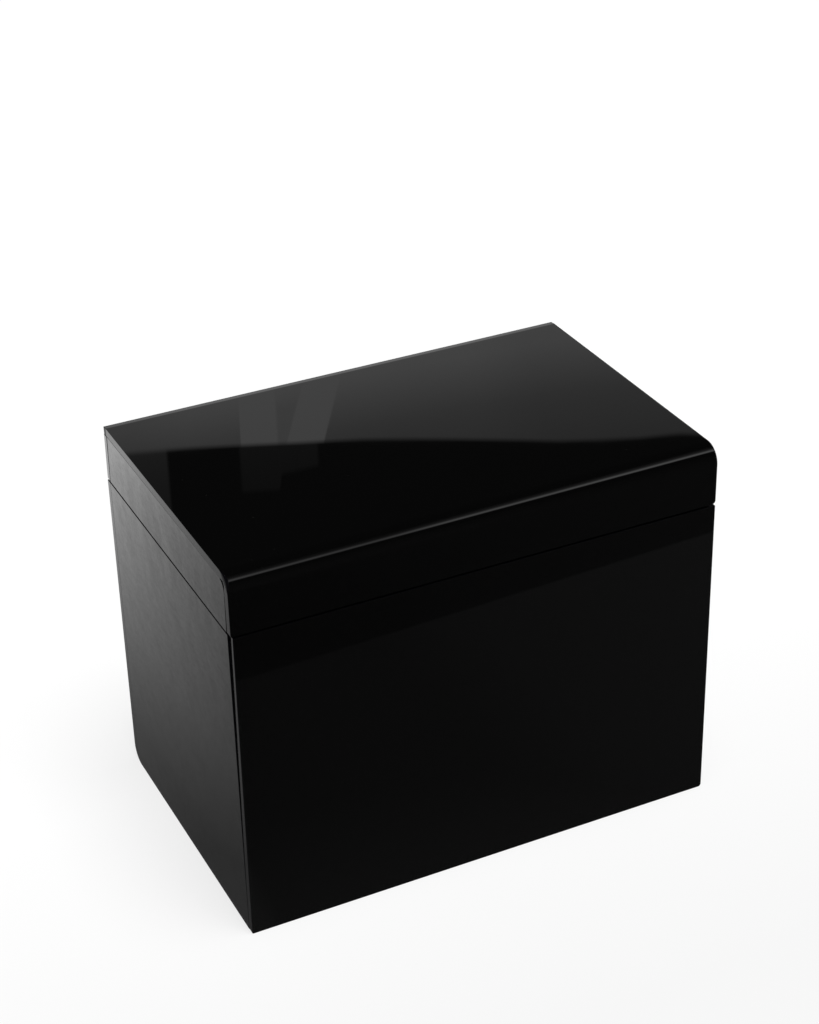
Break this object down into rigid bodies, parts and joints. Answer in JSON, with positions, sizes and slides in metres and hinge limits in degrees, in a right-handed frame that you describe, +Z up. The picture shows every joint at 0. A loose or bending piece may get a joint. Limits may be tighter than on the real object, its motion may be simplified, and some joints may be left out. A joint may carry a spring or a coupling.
{
  "type": "storage box",
  "caption": "Glossy black acrylic storage box with heat-bent sheets, cemented side panels and a flush lid that swings open on butt hinges along its back.",
  "frame": {"origin": "middle of the underside, on the surface that the box stands on", "axes": "+X along the width, to the right seen from the front; +Y from the front to the hinged back; +Z up"},
  "size_m": [0.31, 0.2061, 0.245],
  "materials": {
    "black_acrylic": "cast acrylic, polished to a mirror gloss",
    "satin_steel": "satin stainless steel"
  },
  "bodies": {
    "base": {"base_bent_sheet": "black_acrylic", "base_front_panel": "black_acrylic", "base_left_panel": "black_acrylic", "base_right_panel": "black_acrylic", "left_hinge_base_leaf": "satin_steel", "left_hinge_pin": "satin_steel", "right_hinge_base_leaf": "satin_steel", "right_hinge_pin": "satin_steel", "left_hinge_base_screw_1": "satin_steel", "left_hinge_base_screw_2": "satin_steel", "right_hinge_base_screw_1": "satin_steel", "right_hinge_base_screw_2": "satin_steel", "left_hinge_base_nut_1": "satin_steel", "left_hinge_base_nut_2": "satin_steel", "right_hinge_base_nut_1": "satin_steel", "right_hinge_base_nut_2": "satin_steel"},
    "lid": {"lid_bent_sheet": "black_acrylic", "lid_back_panel": "black_acrylic", "lid_left_panel": "black_acrylic", "lid_right_panel": "black_acrylic", "left_hinge_lid_leaf": "satin_steel", "right_hinge_lid_leaf": "satin_steel", "left_hinge_lid_screw_1": "satin_steel", "left_hinge_lid_screw_2": "satin_steel", "right_hinge_lid_screw_1": "satin_steel", "right_hinge_lid_screw_2": "satin_steel", "left_hinge_lid_nut_1": "satin_steel", "left_hinge_lid_nut_2": "satin_steel", "right_hinge_lid_nut_1": "satin_steel", "right_hinge_lid_nut_2": "satin_steel"}
  },
  "joints": [
    {"name": "lid_hinge", "type": "hinge", "parent": "base", "child": "lid", "pos_m": [0, 0.1031, 0.20745], "axis": [-1, 0, 0], "range_deg": [0, 185]}
  ]
}
